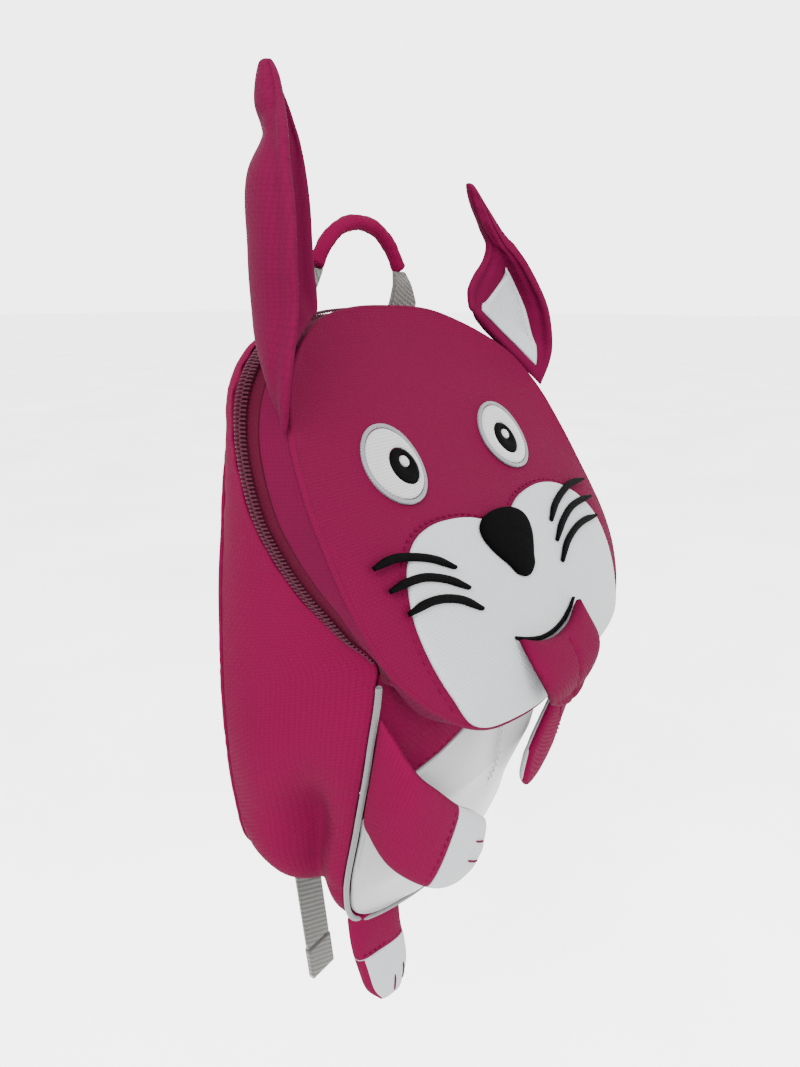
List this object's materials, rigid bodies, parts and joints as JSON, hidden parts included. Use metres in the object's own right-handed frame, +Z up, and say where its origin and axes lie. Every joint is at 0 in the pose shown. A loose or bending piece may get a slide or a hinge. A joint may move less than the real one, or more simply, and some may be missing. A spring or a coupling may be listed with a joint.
{
  "type": "child's animal backpack",
  "caption": "Small child's backpack in the shape of a rabbit, with a padded back, straps, ears, arms, legs and a carry loop, hanging by the loop.",
  "frame": {"origin": "the underside of the carry loop's crown, where the bag hangs", "axes": "+Z up as it hangs, -Y the way the face looks, +X to the viewer's right when facing it"},
  "size_m": [0.178, 0.1364, 0.3629],
  "materials": {
    "pink_cloth": "woven polyester",
    "coil": "satin",
    "white_cloth": "woven polyester",
    "silver_satin": "satin",
    "black_satin": "satin stitch",
    "grey_webbing": "ribbed webbing",
    "lock_plastic": "moulded"
  },
  "bodies": {
    "root": {"back_panel": "pink_cloth", "side_gusset": "pink_cloth", "zipper_tape": "pink_cloth", "head_gusset": "pink_cloth", "face_panel": "pink_cloth", "tongue": "pink_cloth", "handle_sleeve": "pink_cloth", "shoulder_left": "pink_cloth", "shoulder_right": "pink_cloth", "ear_left": "pink_cloth", "ear_right": "pink_cloth", "arm_left": "pink_cloth", "arm_right": "pink_cloth", "leg_left": "pink_cloth", "leg_right": "pink_cloth", "shoulder_pad_left": "pink_cloth", "shoulder_pad_right": "pink_cloth", "zipper_coil": "coil", "zipper_slider": "coil", "zipper_pull": "coil", "muzzle": "white_cloth", "belly_white": "white_cloth", "ear_lining_left": "white_cloth", "ear_lining_right": "white_cloth", "hand_left": "white_cloth", "hand_right": "white_cloth", "foot_left": "white_cloth", "foot_right": "white_cloth", "eye_white_left": "white_cloth", "eye_white_right": "white_cloth", "glint_left": "white_cloth", "glint_right": "white_cloth", "piping": "silver_satin", "eye_rim_left": "silver_satin", "eye_rim_right": "silver_satin", "nose": "black_satin", "mouth_line": "black_satin", "pupil_left": "black_satin", "pupil_right": "black_satin", "whisker_left_1": "black_satin", "whisker_left_2": "black_satin", "whisker_left_3": "black_satin", "whisker_right_1": "black_satin", "whisker_right_2": "black_satin", "whisker_right_3": "black_satin", "handle_web_left": "grey_webbing", "handle_web_right": "grey_webbing", "pad_web_left": "grey_webbing", "pad_web_right": "grey_webbing", "adjust_web_left": "grey_webbing", "adjust_web_right": "grey_webbing", "strap_tip_left": "grey_webbing", "strap_tip_right": "grey_webbing", "ladder_lock_left": "lock_plastic", "ladder_lock_right": "lock_plastic"}
  },
  "joints": []
}
